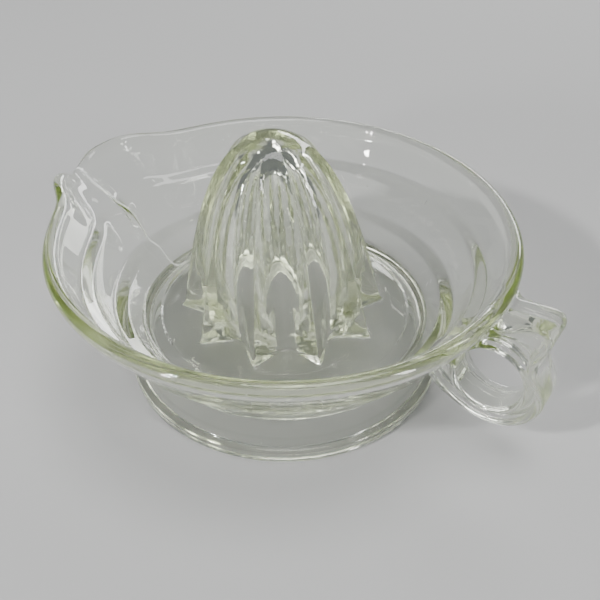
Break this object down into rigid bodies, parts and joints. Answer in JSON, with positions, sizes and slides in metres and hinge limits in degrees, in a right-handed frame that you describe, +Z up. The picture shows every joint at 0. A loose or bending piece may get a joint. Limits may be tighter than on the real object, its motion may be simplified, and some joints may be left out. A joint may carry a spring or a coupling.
{
  "type": "citrus reamer",
  "caption": "One-piece pressed-glass citrus reamer: footed bowl with pour spout, ribbed hollow cone, and loop handle with thumb rest.",
  "frame": {"origin": "middle of the object's base, on the surface the foot stands on; the bowl's own axis is 3 mm from it, towards the spout", "axes": "+X out along the handle, -X out through the pour spout, +Z up"},
  "size_m": [0.1815, 0.152, 0.0845],
  "materials": {
    "pressed_glass": "clear fire-polished pressed glass with a faint yellow-green tint where it is thick"
  },
  "bodies": {
    "root": {"foot_ring": "pressed_glass", "bowl_floor": "pressed_glass", "bowl_wall": "pressed_glass", "rim_bead": "pressed_glass", "pour_spout": "pressed_glass", "reamer_cone": "pressed_glass", "finger_ring": "pressed_glass", "thumb_rest": "pressed_glass"}
  },
  "joints": []
}
